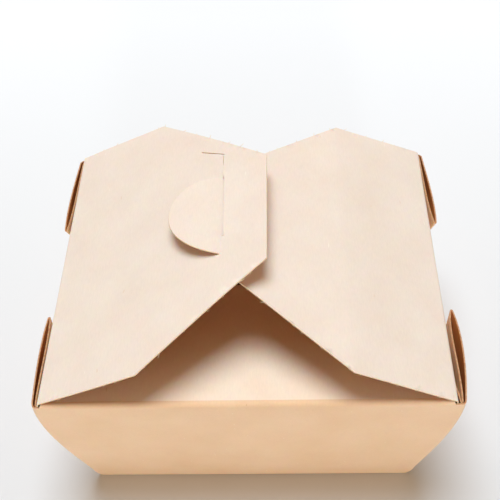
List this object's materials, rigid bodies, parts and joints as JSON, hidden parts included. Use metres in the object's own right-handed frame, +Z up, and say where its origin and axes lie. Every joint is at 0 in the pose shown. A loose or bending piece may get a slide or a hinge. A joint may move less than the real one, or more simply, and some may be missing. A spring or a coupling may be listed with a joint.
{
  "type": "folded paperboard takeaway carton",
  "caption": "Tapered kraft paperboard food carton with web corners, dust flaps and a roof closed by a half-round tab in a slit.",
  "frame": {"origin": "centre of the base's underside", "axes": "+X along the long side of the rim, towards the wall that carries the inner flap; +Y towards the back; +Z up"},
  "size_m": [0.1382, 0.112, 0.0948],
  "materials": {
    "kraft_board": "matt natural kraft paperboard"
  },
  "bodies": {
    "tray": {"carton": "kraft_board", "lock_tab": "kraft_board"},
    "roof": {"outer_flap": "kraft_board"}
  },
  "joints": [
    {"name": "outer_flap_fold", "type": "hinge", "parent": "tray", "child": "roof", "pos_m": [-0.06477, 0, 0.064], "axis": [0, -1, 0], "range_deg": [0, 150], "deforming": ["lock_tab"]}
  ]
}
